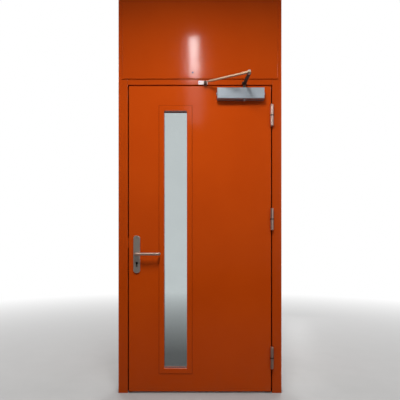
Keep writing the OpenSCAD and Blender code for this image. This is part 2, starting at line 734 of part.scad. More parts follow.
// bar lying along local X from a round boss to a round eye
module arm_bar(length, w0, w1, t) linear_extrude(t)
    polygon([[0, -w0 / 2], [length, -w1 / 2], [length, w1 / 2], [0, w0 / 2]]);
module closer_main_arm() color(dark) at_face() difference() {
    translate([pinion_x, -pinion_out, 0]) rotate([0, 0, arm_angle]) {
        translate([0, 0, hub_z]) cylinder(d = arm_hub, h = hub_h);
        translate([0, 0, arm_z]) arm_bar(arm_l, arm_w, arm_eye - 2, arm_t);
        translate([arm_l, 0, arm_z]) cylinder(d = arm_eye, h = arm_t);
    }
    post(pinion_x, -pinion_out, pinion_neck + 2 * run_fit, hub_z - 1, hub_z + hub_h + 1);
    post(elbow_x, -elbow_out, elbow_d + 2 * run_fit, arm_z - 1, arm_z + arm_t + 1);
}
module elbow_screw() color(silver) at_face() {
    post(elbow_x, -elbow_out, elbow_head, arm_z - elbow_foot, arm_z);
    post(elbow_x, -elbow_out, elbow_d, arm_z, fore_z + fore_t + air);
    post(elbow_x, -elbow_out, elbow_head, fore_z + fore_t + air, fore_z + fore_t + air + elbow_cap);
}
module on_forearm() translate([elbow_x, -elbow_out, fore_z]) rotate([0, 0, fore_angle]) children();
module closer_forearm() color(silver) at_face() difference() {
    on_forearm() {
        cylinder(d = arm_eye, h = fore_t);
        arm_bar(bar_l, arm_eye - 4, fore_w, fore_t);
    }
    post(elbow_x, -elbow_out, elbow_d + 2 * run_fit, fore_z - 1, fore_z + fore_t + 1);
    on_forearm() rod_x(0, fore_t / 2, rod_d + 2 * run_fit, bar_l - rod_in, bar_l + 1);
}
module closer_rod_end() color(silver) at_face() difference() {
    on_forearm() {
        translate([fore_l, 0, 0]) cylinder(d = arm_eye, h = fore_t);
        rod_x(0, fore_t / 2, rod_d, bar_l - rod_in, fore_l - arm_eye / 3);
    }
    post(shoe_x, -shoe_out, elbow_d + 2 * run_fit, fore_z - 1, fore_z + fore_t + 1);
}
module closer_lock_nut() color(steel) at_face() on_forearm() difference() {
    translate([bar_l, 0, fore_t / 2]) rotate([0, 90, 0]) rotate([0, 0, 30])
        cylinder(d = nut_d, h = nut_t, $fn = 6);
    rod_x(0, fore_t / 2, rod_d + 2 * run_fit, bar_l - 1, bar_l + nut_t + 1);
}
module shoe_pivot_screw() color(dark) at_face() {
    post(shoe_x, -shoe_out, elbow_d, fore_z, fore_z + fore_t);
    post(shoe_x, -shoe_out, pivot_head, fore_z + fore_t, fore_z + fore_t + pivot_cap);
}
module closer_shoe() color(silver) at_face() difference() {
    union() {
        translate([shoe_x + (shoe_right - shoe_left) / 2, 0, shoe_z])
            along_y(-shoe_t, 0) round_rect(shoe_left + shoe_right, shoe_h, shoe_r);
        slab([shoe_x - arm_eye / 2, shoe_x + arm_eye / 2], [-shoe_out, 0], [lug_top - lug_t, lug_top]);
        post(shoe_x, -shoe_out, arm_eye, lug_top - lug_t, lug_top);
    }
    for (x = shoe_spots) rod_y(x, shoe_z, screw_d + 2 * run_fit, -shoe_t - 1, 1);
}
module closer_shoe_screws() color(steel) at_face() for (x = shoe_spots) {
    rod_y(x, shoe_z, screw_d, -shoe_t, frame_sheet + screw_grip);
    rod_y(x, shoe_z, screw_head, -shoe_t - screw_head_t, -shoe_t);
}

lock_jamb();
hinge_jamb();
head_rail();
top_rail();
over_panel_front();
over_panel_core();
over_panel_back();
over_panel_screw();
frame_seal();
floor_anchors();
strike_plate();
strike_screws();
closer_shoe();
closer_shoe_screws();
hinge_frame(hinge_heights[0]);  // hinge_frame_bottom
hinge_frame(hinge_heights[1]);  // hinge_frame_middle
hinge_frame(hinge_heights[2]);  // hinge_frame_top
hinge_pin(hinge_heights[0]);  // hinge_pin_bottom
hinge_pin(hinge_heights[1]);  // hinge_pin_middle
hinge_pin(hinge_heights[2]);  // hinge_pin_top
hinge_ring(hinge_heights[0]);  // hinge_ring_bottom
hinge_ring(hinge_heights[1]);  // hinge_ring_middle
hinge_ring(hinge_heights[2]);  // hinge_ring_top
hinge_door(hinge_heights[0]);  // hinge_door_bottom
hinge_door(hinge_heights[1]);  // hinge_door_middle
hinge_door(hinge_heights[2]);  // hinge_door_top
leaf_front_skin();
leaf_back_skin();
leaf_core();
leaf_channels();
closer_reinforcement();
glass_pane();
glazing_bead_front();
glazing_bead_back();
glazing_tapes();
handle_plate_front();
handle_plate_back();
handle_bolts();
lock_case();
lock_cover();
lock_forend();
forend_screws();
closer_housing();
closer_end_plugs();
closer_valves();
closer_cap();
lever_front();
lever_back();
spindle();
follower();
latch_bolt();
dead_bolt();
closer_pinion();
closer_main_arm();
elbow_screw();
closer_forearm();
closer_rod_end();
closer_lock_nut();
shoe_pivot_screw();
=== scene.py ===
"""Painted steel fire door in its frame: finishes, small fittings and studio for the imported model."""

import json
import math

import bmesh
import bpy
from mathutils import Matrix, Vector


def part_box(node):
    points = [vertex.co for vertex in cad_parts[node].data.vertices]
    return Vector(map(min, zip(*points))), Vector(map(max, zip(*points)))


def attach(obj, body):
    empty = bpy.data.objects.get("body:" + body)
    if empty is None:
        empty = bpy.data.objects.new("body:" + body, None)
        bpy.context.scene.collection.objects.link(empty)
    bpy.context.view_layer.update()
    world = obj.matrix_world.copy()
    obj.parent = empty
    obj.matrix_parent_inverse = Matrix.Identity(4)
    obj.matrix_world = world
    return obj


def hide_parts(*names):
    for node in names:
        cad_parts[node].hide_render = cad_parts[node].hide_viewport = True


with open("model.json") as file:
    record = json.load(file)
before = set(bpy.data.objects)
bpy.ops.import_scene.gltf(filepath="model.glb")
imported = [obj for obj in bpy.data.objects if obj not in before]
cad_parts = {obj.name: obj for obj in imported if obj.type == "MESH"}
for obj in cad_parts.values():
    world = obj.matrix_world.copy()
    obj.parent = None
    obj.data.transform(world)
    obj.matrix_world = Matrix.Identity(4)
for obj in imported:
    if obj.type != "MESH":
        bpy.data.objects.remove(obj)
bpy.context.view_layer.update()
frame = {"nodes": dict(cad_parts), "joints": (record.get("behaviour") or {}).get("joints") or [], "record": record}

bl_info = {
    "name": "Fire door finishes",
    "version": (1, 0, 0),
    "blender": (4, 5, 0),
    "location": "View3D > Sidebar > Fire door",
    "description": "Dresses the packed fire door with paint, metals, glass and small fittings",
    "category": "Object",
}

NODES = frame["nodes"]
SLOTS = {row["node"]: row["material_slot"] for row in frame["record"]["subparts"]}
HINGES = ("bottom", "middle", "top")
FRAME_PAINTED = ("lock_jamb", "hinge_jamb", "head_rail", "top_rail", "over_panel_front", "over_panel_back",
                 "strike_plate")
MM = 0.001

# Rounding of edges, by kind of piece.
SHEET_EDGE = 0.5 * MM
JAMB_EDGE = 0.4 * MM
GLASS_EDGE = 0.8 * MM
KNUCKLE_EDGE = 1.0 * MM
RING_EDGE = 0.3 * MM
PLATE_EDGE = 0.6 * MM
LEVER_EDGE = 1.5 * MM
ARM_EDGE = 1.0 * MM
PINION_EDGE = 0.9 * MM
PIVOT_EDGE = 0.8 * MM

# How edges are found and softened.
WELD_GAP = 0.005 * MM
FLAT_ANGLE = math.radians(1.0)
EDGE_ANGLE = math.radians(40.0)
SHARP_ANGLE = math.radians(35.0)
BEVEL_SAMPLES = 6

# Fine sizes of the finishes.
# Radius of the mask for edges drawn lighter, a painted highlight.
WEAR_AND_SHEEN_RADIUS = 2.5 * MM
GLASS_SOFT, MATTE_SOFT = 0.5 * MM, 0.6 * MM
PEEL_DEPTH = 0.3 * MM
LACQUER_DEPTH = 0.25 * MM
GRAIN_DEPTH = 0.15 * MM
# Width and fade of the painted shade round the glazing bead.
BEAD_SHADE_WIDTH, BEAD_SHADE_FADE = 3.0 * MM, 1.0 * MM
# Reach of the painted shade on the hinge knuckles beside their joints.
JOINT_SHADE_FULL, JOINT_SHADE_GONE = 2.8 * MM, 4.0 * MM
SHOE_PLATE = 6.0 * MM

# Stretches of the brushed grain, by the way that its lines run.
LINES_UP = (1.0, 1.0, 0.02)
LINES_UP_SHORT = (1.0, 1.0, 0.05)
LINES_ACROSS = (0.02, 1.0, 1.0)
NO_LINES = (1.0, 1.0, 1.0)


def colour_prop(name, description, default):
    """A colour that a user may change, as linear RGB."""
    return bpy.props.FloatVectorProperty(
        name=name, description=description, subtype="COLOR", size=3, min=0.0, max=1.0, default=default)


def length_prop(name, description, default):
    """A length in metres that a user may change."""
    return bpy.props.FloatProperty(name=name, description=description, subtype="DISTANCE", unit="LENGTH",
                                   precision=4, default=default)


def power_prop(name, description, default):
    """A lamp's power in watts."""
    return bpy.props.FloatProperty(name=name, description=description, subtype="POWER", default=default, min=0.0)


class FireDoorFinish(bpy.types.PropertyGroup):
    """Colours and fine sizes of the door's surfaces."""

    paint: colour_prop("Paint", "Gloss paint of leaf, frame and over-panel", (0.49, 0.058, 0.002))
    # Painted highlight: the paint's colour along bends and edges.
    paint_edge_sheen: colour_prop("Edge highlight paint", "Lighter paint along bends and edges as a painted highlight", (0.56, 0.10, 0.012))
    paint_deep: colour_prop("Deep paint", "Paint in its darker clouds", (0.455, 0.051, 0.0015))
    # Painted shade: frame and over-panel are drawn darker than the leaf.
    frame_tone: bpy.props.FloatProperty(
        name="Frame tone", description="Brightness of the paint on frame and over-panel against the leaf's",
        subtype="FACTOR", default=0.90, min=0.0, max=1.0)
    dust: colour_prop("Dust", "Grey dust that gathers low on the door", (0.20, 0.075, 0.03))
    closer: colour_prop("Closer", "Silver lacquer of the closer", (0.47, 0.52, 0.57))
    # Painted highlight: the shoe's plate is paler than the closer's lacquer.
    shoe: colour_prop("Closer shoe", "Pale plate of the shoe, a painted highlight", (0.74, 0.65, 0.62))
    # Partly painted reflection: the golden tint stands for the orange door mirrored in the forearm.
    arm: colour_prop("Closer forearm", "Dull plated steel of the closer's forearm", (0.60, 0.43, 0.28))
    stainless: colour_prop("Stainless", "Brushed handle plates", (0.62, 0.54, 0.48))
    # Painted reflection: the levers' warmth stands for the orange door mirrored in them.
    lever: colour_prop("Lever", "Brushed levers, warmer than their plates as a painted reflection of the door", (0.71, 0.51, 0.41))
    # Partly painted reflection: the pink warmth stands for the orange door mirrored in the knuckles.
    hinge: colour_prop("Hinge steel", "Bright turned steel of the hinges", (0.76, 0.54, 0.45))
    zinc: colour_prop("Zinc", "Plated steel of lock, rod and screws", (0.42, 0.41, 0.40))
    # Partly painted shade: the closer's main arm is blackened steel drawn darker for the shade it lies in.
    dark: colour_prop("Dark steel", "Blackened steel of the closer arm", (0.085, 0.055, 0.036))
    cap: colour_prop("Screw cap", "Dark cap of the over-panel's screw", (0.05, 0.010, 0.002))
    rubber: colour_prop("Rubber", "Black seal and glazing tape", (0.012, 0.012, 0.012))
    # Also the painted shade on the knuckles beside the hinge joints.
    ring: colour_prop("Bearing ring", "Dark bronze, and the painted shade beside it", (0.030, 0.018, 0.012))
    wool: colour_prop("Mineral wool", "Yellow wool inside leaf and over-panel", (0.50, 0.42, 0.20))
    glass: colour_prop("Glass", "Tint of the fire glass", (0.52, 0.57, 0.575))
    round_edge: length_prop("Round edge", "Softening of sharp metal edges", 1.2 * MM)


class FireDoorStage(bpy.types.PropertyGroup):
    """Camera and light of the studio."""

    camera_far: length_prop("Camera distance", "Lens to the front of the frame", 3.0)
    eye: length_prop("Eye height", "Lens above the floor", 1.06)
    aside: length_prop("Eye aside", "Lens beside the middle of the door", -0.014)
    span: length_prop("Picture height", "Height that the picture takes in at the frame", 2.736)
    middle: length_prop("Picture middle", "Height at the middle of the picture", 1.32)
    floor: colour_prop("Floor", "Pale studio floor", (0.37, 0.365, 0.36))
    ceiling: length_prop("Strip height", "Height of the mirrored ceiling strips", 2.95)
    lamp_height: length_prop("Lamp height", "Height of the other ceiling lamps", 2.80)
    strip_power: power_prop("Strip power", "Narrow ceiling strip that the gloss paint mirrors", 10.8)
    far_power: power_prop("Far strip power", "Second ceiling strip, over the camera", 3.0)
    wash_power: power_prop("Wash power", "Each ceiling lamp before and behind the door, not mirrored", 33.0)
    side_power: power_prop("Side power", "Each lamp beside the frame, not mirrored, for the open leaf", 30.0)
    panel_power: power_prop("Panel power", "Each of the four ceiling panels to the sides", 15.0)
    tall_power: power_prop("Tall panel power", "Upright panel on the hinge side, before and behind", 9.5)
    sky: bpy.props.FloatProperty(name="Sky", description="Even light from all round", default=0.05, min=0.0)
    mirror_sky: bpy.props.FloatProperty(
        name="Mirrored sky", description="Even light as gloss and metal mirror it", default=0.10, min=0.0)


def finish_values():
    """The colours and sizes that the panel shows."""
    return bpy.context.scene.fire_door_finish


def rgba(colour):
    """A colour with full alpha."""
    return (*colour, 1.0)


def shade(colour, factor):
    """A colour made darker or lighter, with no channel over 1."""
    return tuple(min(1.0, factor * c) for c in colour)


class Tree:
    """Short ways to add and join nodes in one node tree."""

    def __init__(self, tree):
        self.tree = tree

    def add(self, kind, **values):
        """A new node with its settings."""
        node = self.tree.nodes.new(kind)
        for key, value in values.items():
            setattr(node, key, value)
        return node

    def join(self, out, into):
        """Links an output to an input."""
        self.tree.links.new(out, into)

    def noise(self, vector, scale, detail=3.0, rough=0.5):
        """Noise from 0 to 1 over a vector."""
        node = self.add("ShaderNodeTexNoise")
        node.inputs["Scale"].default_value = scale
        node.inputs["Detail"].default_value = detail
        node.inputs["Roughness"].default_value = rough
        self.join(vector, node.inputs["Vector"])
        return node.outputs["Fac"]

    def math(self, operation, a, b=None, clamp=False):
        """One operation on sockets and plain numbers."""
        node = self.add("ShaderNodeMath", operation=operation, use_clamp=clamp)
        for socket, value in zip(node.inputs, (a, b)):
            if isinstance(value, (int, float)):
                socket.default_value = value
            elif value is not None:
                self.join(value, socket)
        return node.outputs[0]

    def spread(self, value, low, high, to_low=0.0, to_high=1.0):
        """Maps a range of values to another one and stops at its ends."""
        node = self.add("ShaderNodeMapRange", clamp=True)
        for name, number in (("From Min", low), ("From Max", high), ("To Min", to_low), ("To Max", to_high)):
            node.inputs[name].default_value = number
        self.join(value, node.inputs["Value"])
        return node.outputs["Result"]

    def mix(self, factor, a, b):
        """Mixes two colours, each a socket or plain RGB."""
        node = self.add("ShaderNodeMix", data_type="RGBA")
        self.join(factor, node.inputs[0])
        for socket, value in ((node.inputs[6], a), (node.inputs[7], b)):
            if isinstance(value, bpy.types.NodeSocket):
                self.join(value, socket)
            else:
                socket.default_value = rgba(value)
        return node.outputs[2]


def new_group(name, inputs, outputs):
    """A shader node group with named sockets; returns its tree helper and its input and output nodes."""
    group = bpy.data.node_groups.new(name, "ShaderNodeTree")
    for label, kind, default in inputs:
        socket = group.interface.new_socket(label, in_out="INPUT", socket_type=kind)
        socket.default_value = default
    for label, kind in outputs:
        group.interface.new_socket(label, in_out="OUTPUT", socket_type=kind)
    t = Tree(group)
    return t, t.add("NodeGroupInput"), t.add("NodeGroupOutput")


FLOAT = "NodeSocketFloat"
VECTOR = "NodeSocketVector"


def build_orange_peel():
    """Fine ripple of sprayed gloss paint."""
    t, given, out = new_group("Orange peel", [("Size", FLOAT, 260.0), ("Waves", FLOAT, 9.0)], [("Height", FLOAT)])
    place = t.add("ShaderNodeTexCoord").outputs["Object"]
    peel = t.add("ShaderNodeTexNoise")
    peel.inputs["Detail"].default_value = 1.5
    t.join(place, peel.inputs["Vector"])
    t.join(given.outputs["Size"], peel.inputs["Scale"])
    waves = t.add("ShaderNodeTexNoise")
    waves.inputs["Detail"].default_value = 0.0
    t.join(place, waves.inputs["Vector"])
    t.join(given.outputs["Waves"], waves.inputs["Scale"])
    both = t.math("ADD", t.math("MULTIPLY", peel.outputs["Fac"], 0.25), t.math("MULTIPLY", waves.outputs["Fac"], 2.0))
    t.join(both, out.inputs["Height"])


def build_edge_wear_and_sheen():
    """Mask that is 1 along bends and edges and 0 on flat faces, for edges drawn lighter as painted highlight and
    wear.
    """
    t, given, out = new_group("Edge wear and sheen", [("Breakup", FLOAT, 60.0)], [("Mask", FLOAT)])
    soft = t.add("ShaderNodeBevel", samples=BEVEL_SAMPLES)
    soft.inputs["Radius"].default_value = WEAR_AND_SHEEN_RADIUS
    geometry = t.add("ShaderNodeNewGeometry")
    dot = t.add("ShaderNodeVectorMath", operation="DOT_PRODUCT")
    t.join(soft.outputs["Normal"], dot.inputs[0])
    t.join(geometry.outputs["Normal"], dot.inputs[1])
    turned = t.spread(dot.outputs["Value"], 0.995, 0.80)
    place = t.add("ShaderNodeTexCoord").outputs["Object"]
    broken = t.add("ShaderNodeTexNoise")
    t.join(place, broken.inputs["Vector"])
    t.join(given.outputs["Breakup"], broken.inputs["Scale"])
    t.join(t.math("MULTIPLY", turned, t.spread(broken.outputs["Fac"], 0.25, 0.7), clamp=True), out.inputs["Mask"])


def build_low_dust():
    """Mask of dust and shoe scuffs that fades out with height above the floor."""
    t, given, out = new_group("Low dust", [("Reach", FLOAT, 0.30)], [("Mask", FLOAT)])
    place = t.add("ShaderNodeTexCoord").outputs["Object"]
    split = t.add("ShaderNodeSeparateXYZ")
    t.join(place, split.inputs[0])
    low = t.math("SUBTRACT", 1.0, t.math("DIVIDE", split.outputs["Z"], given.outputs["Reach"]), clamp=True)
    cloud = t.spread(t.noise(place, 14.0, detail=6.0, rough=0.65), 0.35, 0.75)
    t.join(t.math("MULTIPLY", t.math("POWER", low, 1.6), cloud, clamp=True), out.inputs["Mask"])


def build_brushed_grain():
    """Fine parallel scratches; the stretch sets which way they run."""
    t, given, out = new_group("Brushed grain", [("Stretch", VECTOR, NO_LINES)], [("Height", FLOAT), ("Shade", FLOAT)])
    place = t.add("ShaderNodeTexCoord").outputs["Object"]
    scaled = t.add("ShaderNodeVectorMath", operation="MULTIPLY")
    t.join(place, scaled.inputs[0])
    t.join(given.outputs["Stretch"], scaled.inputs[1])
    lines = t.noise(scaled.outputs[0], 900.0, detail=2.0)
    t.join(lines, out.inputs["Height"])
    t.join(t.spread(lines, 0.3, 0.7), out.inputs["Shade"])


def build_grime():
    """Soft blotches of handling marks."""
    t, given, out = new_group("Grime", [("Size", FLOAT, 30.0)], [("Mask", FLOAT)])
    place = t.add("ShaderNodeTexCoord").outputs["Object"]
    spots = t.add("ShaderNodeTexNoise")
    spots.inputs["Detail"].default_value = 5.0
    t.join(place, spots.inputs["Vector"])
    t.join(given.outputs["Size"], spots.inputs["Scale"])
    t.join(t.spread(spots.outputs["Fac"], 0.45, 0.75), out.inputs["Mask"])


class Surface(Tree):
    """One material: its Principled shader, groups and rounded normal."""

    def __init__(self, name):
        material = bpy.data.materials.new(name)
        material.use_nodes = True
        super().__init__(material.node_tree)
        self.material = material
        self.shader = material.node_tree.nodes["Principled BSDF"]

    def set(self, **values):
        """Sets plain values on the shader, with _ for a space in a socket's name."""
        for key, value in values.items():
            self.shader.inputs[key.replace("_", " ")].default_value = value

    def group(self, name, **values):
        """Places a shared group with this surface's own values."""
        node = self.add("ShaderNodeGroup", node_tree=bpy.data.node_groups[name])
        for key, value in values.items():
            node.inputs[key].default_value = value
        return node

    def colour(self, out):
        """Feeds the shader's colour."""
        self.join(out, self.shader.inputs["Base Color"])

    def rough(self, out):
        """Feeds the shader's roughness."""
        self.join(out, self.shader.inputs["Roughness"])

    def relief(self, height, strength, depth, radius):
        """Bump on top of edges that are softened by a radius, where there is one."""
        bump = self.add("ShaderNodeBump")
        bump.inputs["Strength"].default_value = strength
        bump.inputs["Distance"].default_value = depth
        self.join(height, bump.inputs["Height"])
        if radius:
            soft = self.add("ShaderNodeBevel", samples=BEVEL_SAMPLES)
            soft.inputs["Radius"].default_value = radius
            self.join(soft.outputs["Normal"], bump.inputs["Normal"])
        self.join(bump.outputs["Normal"], self.shader.inputs["Normal"])

    def place(self):
        """Coordinates on the piece."""
        return self.add("ShaderNodeTexCoord").outputs["Object"]

    def round_outline(self, low, high, width, fade):
        """Mask that is 1 on a line round the outside of a box, seen along Y, and fades out beside it."""
        split = self.add("ShaderNodeSeparateXYZ")
        self.join(self.place(), split.inputs[0])
        beyond = []
        for i in (0, 2):
            away = self.math("ABSOLUTE", self.math("SUBTRACT", split.outputs[i], (low[i] + high[i]) / 2))
            beyond.append(self.math("SUBTRACT", away, (high[i] - low[i]) / 2))
        outside = self.math("SUBTRACT", self.math("MAXIMUM", *beyond), width / 2)
        return self.spread(self.math("ABSOLUTE", outside), width / 2 + fade, width / 2)

    def near_heights(self, heights, full, gone):
        """Mask that is 1 within a distance of each height and fades out to 0 at another."""
        split = self.add("ShaderNodeSeparateXYZ")
        self.join(self.place(), split.inputs[0])
        mask = None
        for height in heights:
            away = self.math("ABSOLUTE", self.math("SUBTRACT", split.outputs["Z"], height))
            near = self.spread(away, gone, full)
            mask = near if mask is None else self.math("MAXIMUM", mask, near)
        return mask


def paint_finish(name, tone=1.0, bead=None):
    """Gloss sprayed paint with clouds, edges lighter as a painted highlight, peel and low dust; a tone under 1
    darkens it as painted shade.

    A bead's node sets a line of painted shade on the paint round its outer edge.
    """
    v = finish_values()
    s = Surface(name)
    sheen_paint, plain, deep = (shade(colour, tone) for colour in (v.paint_edge_sheen, v.paint, v.paint_deep))
    cloud = s.spread(s.noise(s.place(), 2.2, detail=4.0), 0.35, 0.68)
    base = s.mix(cloud, deep, plain)
    # Painted highlight: bends and edges turn to the lighter paint.
    edged = s.mix(s.group("Edge wear and sheen").outputs["Mask"], base, sheen_paint)
    dust = s.math("MULTIPLY", s.group("Low dust", Reach=0.30).outputs["Mask"], 0.15)
    dusty = s.mix(dust, edged, v.dust)
    if bead:
        # Painted shade: a dark line on the paint round the bead's outer edge.
        bead_shade = s.math("MULTIPLY", s.round_outline(*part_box(bead), BEAD_SHADE_WIDTH, BEAD_SHADE_FADE), 0.50)
        dusty = s.mix(bead_shade, dusty, shade(deep, 0.35))
    s.colour(dusty)
    marks = s.group("Grime", Size=18.0).outputs["Mask"]
    s.rough(s.math("ADD", s.spread(marks, 0.0, 1.0, 0.10, 0.14), s.math("MULTIPLY", dust, 0.5), clamp=True))
    s.set(Specular_IOR_Level=0.24)
    s.relief(s.group("Orange peel").outputs["Height"], 0.10, PEEL_DEPTH, v.round_edge)
    return s.material


def brushed_finish(name, colour, stretch, rough=(0.26, 0.34)):
    """Brushed bare metal with fine parallel lines and handling marks."""
    s = Surface(name)
    grain = s.group("Brushed grain", Stretch=stretch)
    marks = s.group("Grime", Size=55.0).outputs["Mask"]
    streaked = s.mix(grain.outputs["Shade"], shade(colour, 0.85), colour)
    s.colour(s.mix(s.math("MULTIPLY", marks, 0.12), streaked, shade(colour, 0.55)))
    s.rough(s.spread(marks, 0.0, 1.0, *rough))
    s.set(Metallic=0.8)
    s.relief(grain.outputs["Height"], 0.02, GRAIN_DEPTH, finish_values().round_edge)
    return s.material


def hinge_finish(name, joints):
    """Bright turned steel, darkened next to the joints at these heights as painted shade."""
    v = finish_values()
    s = Surface(name)
    grain = s.group("Brushed grain", Stretch=LINES_UP)
    # The hinge colour's warmth is partly a painted reflection.
    bright = s.mix(grain.outputs["Shade"], shade(v.hinge, 0.97), v.hinge)
    # Painted shade: the knuckles turn to the ring's dark colour next to the joints.
    s.colour(s.mix(s.near_heights(joints, JOINT_SHADE_FULL, JOINT_SHADE_GONE), bright, v.ring))
    s.rough(s.spread(s.group("Grime", Size=55.0).outputs["Mask"], 0.0, 1.0, 0.33, 0.36))
    s.set(Metallic=1.0)
    s.relief(grain.outputs["Height"], 0.003, GRAIN_DEPTH, 0.0)
    return s.material


def lacquered(s):
    """Gives a surface the fine ripple of lacquer and hands over its material."""
    s.relief(s.group("Orange peel", Size=700.0, Waves=30.0).outputs["Height"], 0.10, LACQUER_DEPTH,
             finish_values().round_edge)
    return s.material


def lacquer_finish(name, colour, metallic, rough, fleck):
    """Lacquered cast or pressed metal with a fine fleck, and edges lighter as wear and painted highlight."""
    s = Surface(name)
    speck = s.spread(s.noise(s.place(), fleck, detail=2.0), 0.35, 0.65)
    base = s.mix(speck, shade(colour, 0.78), colour)
    bright = tuple(min(1.0, 1.5 * c + 0.05) for c in colour)
    # Edges lighter: wear and painted highlight.
    s.colour(s.mix(s.group("Edge wear and sheen", Breakup=180.0).outputs["Mask"], base, bright))
    marks = s.group("Grime", Size=40.0).outputs["Mask"]
    s.rough(s.spread(marks, 0.0, 1.0, rough, rough + 0.14))
    s.set(Metallic=metallic)
    return lacquered(s)


def two_tone_finish(name, colour, other, split, rough):
    """Lacquered metal that turns to another colour in front of a depth along Y; the two colours are lit and shaded
    copies, painted highlight and painted shade.
    """
    s = Surface(name)
    place = s.add("ShaderNodeSeparateXYZ")
    s.join(s.place(), place.inputs[0])
    speck = s.spread(s.noise(s.place(), 1400.0, detail=2.0), 0.35, 0.65)
    base = s.mix(speck, shade(colour, 0.78), colour)
    s.colour(s.mix(s.spread(place.outputs["Y"], split, split - 1.5 * MM), base, other))
    s.rough(s.spread(s.group("Grime", Size=40.0).outputs["Mask"], 0.0, 1.0, rough, rough + 0.14))
    s.set(Metallic=0.3)
    return lacquered(s)


def matte_finish(name, colour, rough, grain, depth):
    """Dull plastic, rubber or wool with its own grain."""
    s = Surface(name)
    s.set(Specular_IOR_Level=0.1)
    speck = s.noise(s.place(), grain, detail=5.0, rough=0.6)
    s.colour(s.mix(s.spread(speck, 0.3, 0.7), shade(colour, 0.7), shade(colour, 1.25)))
    s.rough(s.spread(speck, 0.3, 0.7, rough - 0.08, rough + 0.08))
    s.relief(speck, 0.3, depth, MATTE_SOFT)
    return s.material


def glass_finish(name):
    """Tinted fire glass, slightly rippled, with a film of dust."""
    v = finish_values()
    s = Surface(name)
    film = s.group("Grime", Size=4.0).outputs["Mask"]
    s.colour(s.mix(s.math("MULTIPLY", film, 0.35), v.glass, shade(v.glass, 0.9)))
    s.rough(s.spread(film, 0.0, 1.0, 0.02, 0.06))
    s.set(Transmission_Weight=1.0, IOR=1.5)
    s.relief(s.group("Orange peel", Size=20.0, Waves=2.0).outputs["Height"], 0.02, PEEL_DEPTH, GLASS_SOFT)
    return s.material


def dress(names, material):
    """Gives each named node one material."""
    for name in names:
        slots = NODES[name].data.materials
        slots.clear()
        slots.append(material)


def in_slot(*slots):
    """Names of the nodes that the record puts in these material slots."""
    return [name for name, slot in SLOTS.items() if slot in slots]


def round_over(names, width, segments=2):
    """Rounds the hard edges of the named nodes by modifiers that keep their own meshes."""
    for name in names:
        node = NODES[name]
        weld = node.modifiers.new("Weld", "WELD")
        weld.merge_threshold = WELD_GAP
        flat = node.modifiers.new("Flat faces", "DECIMATE")
        flat.decimate_type = "DISSOLVE"
        flat.angle_limit = FLAT_ANGLE
        bevel = node.modifiers.new("Rounded edges", "BEVEL")
        bevel.width = width
        bevel.segments = segments
        bevel.limit_method = "ANGLE"
        bevel.angle_limit = EDGE_ANGLE
        bevel.use_clamp_overlap = True
        bevel.harden_normals = True
        for face in node.data.polygons:
            face.use_smooth = True
        node.modifiers.new("Even shading", "WEIGHTED_NORMAL").keep_sharp = True


def new_piece(name, mesh, body, material, stands_for=()):
    """Turns a bmesh into a piece that rides on a body and may stand for CAD nodes."""
    data = bpy.data.meshes.new(name)
    bmesh.ops.recalc_face_normals(mesh, faces=mesh.faces)
    mesh.to_mesh(data)
    mesh.free()
    data.materials.append(material)
    for face in data.polygons:
        face.use_smooth = True
    data.set_sharp_from_angle(angle=SHARP_ANGLE)
    piece = bpy.data.objects.new(name, data)
    bpy.context.scene.collection.objects.link(piece)
    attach(piece, body)
    if stands_for:
        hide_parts(*stands_for)
    return piece


def loft(mesh, rings):
    """Skins a list of rings, each a list of points, and closes the first and last."""
    rows = [[mesh.verts.new(point) for point in ring] for ring in rings]
    count = len(rows[0])
    for low, high in zip(rows, rows[1:]):
        for i in range(count):
            j = (i + 1) % count
            mesh.faces.new((low[i], low[j], high[j], high[i]))
    mesh.faces.new(rows[0][::-1])
    mesh.faces.new(rows[-1])


def round_ring(radius, height, count=48, lobes=0.0):
    """A circle of points, or a six-lobed one, at a height along Z."""
    points = []
    for i in range(count):
        turn = 2 * math.pi * i / count
        r = radius * (1 + lobes * math.cos(6 * turn))
        points.append(Vector((r * math.cos(turn), r * math.sin(turn), height)))
    return points


LOBE = 0.12


def screw_rings(head_d, head_h, shank_d, shank_l, sunk=False):
    """Rings of a screw with a six-lobe recess; its head's underside is at height 0."""
    rim = 0.42 * head_d
    recess = 0.24 * head_d
    under = shank_d / 2 if sunk else head_d / 2
    return [
        round_ring(0.40 * shank_d, -shank_l),
        round_ring(shank_d / 2, -shank_l + 0.1 * shank_d),
        round_ring(shank_d / 2, 0.0),
        round_ring(under, 0.0),
        round_ring(head_d / 2, 0.70 * head_h),
        round_ring(0.47 * head_d, 0.90 * head_h),
        round_ring(rim, head_h),
        round_ring(1.15 * recess, head_h),
        round_ring(recess, 0.96 * head_h, lobes=LOBE),
        round_ring(0.92 * recess, 0.35 * head_h, lobes=LOBE),
    ]


def facing(axis, spot):
    """Puts local +Z along an axis, at a spot."""
    turn = Vector((0, 0, 1)).rotation_difference(Vector(axis)).to_matrix().to_4x4()
    return Matrix.Translation(spot) @ turn


def screws_at(mesh, places, rings):
    """Adds one screw for each place."""
    for place in places:
        loft(mesh, [[place @ point for point in ring] for ring in rings])


def end_spots(node, axis, inset):
    """Middles of a node's two outer members along an axis, a step in from its ends."""
    low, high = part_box(node)
    middle = (low + high) / 2
    spots = []
    for value in (low[axis] + inset, high[axis] - inset):
        spot = middle.copy()
        spot[axis] = value
        spots.append(spot)
    return spots


class FIREDOOR_OT_groups(bpy.types.Operator):
    """Builds the shader groups that the finishes share"""

    bl_idname = "fire_door.groups"
    bl_label = "Shader groups"

    def execute(self, context):
        for build in (build_orange_peel, build_edge_wear_and_sheen, build_low_dust, build_brushed_grain, build_grime):
            build()
        return {"FINISHED"}


